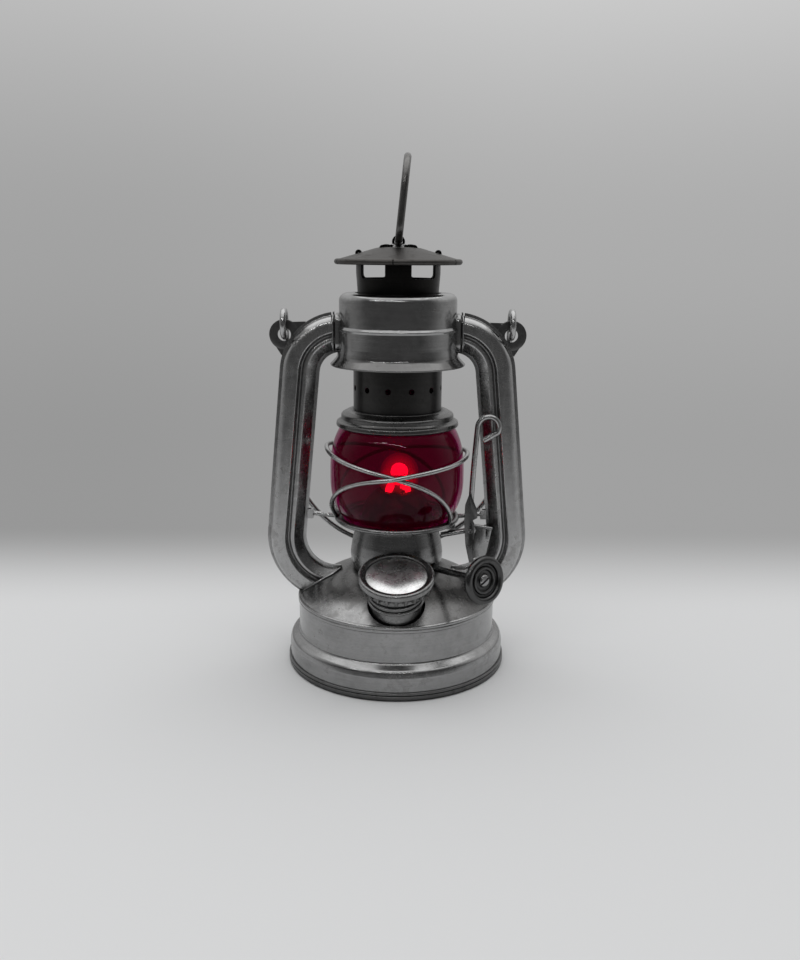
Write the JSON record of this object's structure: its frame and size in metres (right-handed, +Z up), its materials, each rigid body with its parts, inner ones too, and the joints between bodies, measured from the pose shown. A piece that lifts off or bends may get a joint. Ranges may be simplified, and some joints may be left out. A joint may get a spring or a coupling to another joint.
{
  "type": "railway lantern",
  "caption": "Small tubular railway lantern with a red globe in a wire guard, a screw-capped fuel tank, a wick burner with a knob, a globe lift lever, a sprung chimney, a bail and a lift ring.",
  "frame": {"origin": "centre of the foot rim on the ground", "axes": "+Z up along the lantern's axis, -Y to the front with the filler cap, +X to the side with the wick knob and the lift lever"},
  "size_m": [0.1132, 0.0992, 0.2161],
  "materials": {
    "steel": "worn bare steel sheet, satin, with stains and fine scratches",
    "dark_steel": "darkened steel sheet, satin",
    "burnt_steel": "steel browned and sooted by heat, satin",
    "wire": "drawn steel wire, satin, slightly tarnished",
    "burner_brass": "dull sooted brass",
    "red_glass": "clear deep red glass, glossy",
    "gasket": "matte black",
    "wick": "flat woven cotton"
  },
  "bodies": {
    "frame": {"tank_bottom": "steel", "tank_wall": "steel", "tank_partition": "dark_steel", "air_dome": "steel", "filler_neck": "steel", "burner_cup": "dark_steel", "burner_collar": "burner_brass", "burner_plug": "burner_brass", "wick_tube": "burner_brass", "shaft_bracket": "burner_brass", "burner_cone": "burner_brass", "top_chamber": "steel", "left_tube_front": "steel", "left_tube_back": "steel", "right_tube_front": "steel", "right_tube_back": "steel", "chimney_spring": "wire", "lever_catch": "steel", "lever_rivet": "steel"},
    "gasket": {"filler_gasket": "gasket"},
    "cap": {"filler_cap": "steel"},
    "wick": {"wick": "wick"},
    "knob": {"wick_shaft": "dark_steel", "wick_gears": "burner_brass", "wick_knob": "dark_steel", "knob_screw": "steel"},
    "lever": {"lift_lever": "wire"},
    "globe_carriage": {"globe_plate": "steel", "globe_guard_left": "wire", "globe_guard_right": "wire", "guide_arm_left": "wire", "guide_arm_right": "wire", "globe": "red_glass"},
    "chimney": {"globe_holder": "dark_steel", "chimney_tube": "burnt_steel", "spring_seat": "dark_steel", "chimney_top": "burnt_steel", "hood": "burnt_steel", "ring_strap": "burnt_steel", "strap_rivets": "burnt_steel"},
    "lift_ring": {"lift_ring": "burnt_steel"},
    "bail": {"bail": "wire"}
  },
  "joints": [
    {"name": "lever_swing", "type": "hinge", "parent": "frame", "child": "lever", "pos_m": [0.0315, -0.009, 0.0614], "axis": [0, 1, 0], "range_deg": [0, 55]},
    {"name": "globe_lift", "type": "slide", "parent": "frame", "child": "globe_carriage", "axis": [0, 0, 1], "range_m": [0, 0.01], "deforming": ["chimney_spring"]},
    {"name": "chimney_lift", "type": "slide", "parent": "globe_carriage", "child": "chimney", "axis": [0, 0, 1], "range_m": [0, 0.008], "deforming": ["chimney_spring"]},
    {"name": "ring_swing", "type": "hinge", "parent": "chimney", "child": "lift_ring", "pos_m": [0, 0, 0.18136], "axis": [0, 1, 0], "range_deg": [-90, 78]},
    {"name": "bail_swing", "type": "hinge", "parent": "frame", "child": "bail", "pos_m": [0, 0, 0.14806], "axis": [1, 0, 0], "range_deg": [0, 270]},
    {"name": "cap_turn", "type": "hinge", "parent": "gasket", "child": "cap", "pos_m": [0, -0.032, 0.0356], "axis": [0, -0.284, 0.9588], "range_deg": [0, 900]},
    {"name": "cap_lift", "type": "slide", "parent": "frame", "child": "gasket", "axis": [0, -0.284, 0.9588], "range_m": [0, 0.0065]},
    {"name": "knob_turn", "type": "hinge", "parent": "frame", "child": "knob", "pos_m": [0.00399, 0.00301, 0.0431], "axis": [0.5979, -0.7935, 0.1132], "range_deg": [-60, 120]},
    {"name": "wick_slide", "type": "slide", "parent": "frame", "child": "wick", "axis": [0, 0, 1], "range_m": [-0.007, 0.0036]}
  ],
  "couplings": [
    {"joint": "lever_swing", "follows": "globe_lift", "rad_per_m": 95.993},
    {"joint": "cap_lift", "follows": "cap_turn", "m_per_rad": 0.0004138},
    {"joint": "wick_slide", "follows": "knob_turn", "m_per_rad": -0.0033}
  ]
}
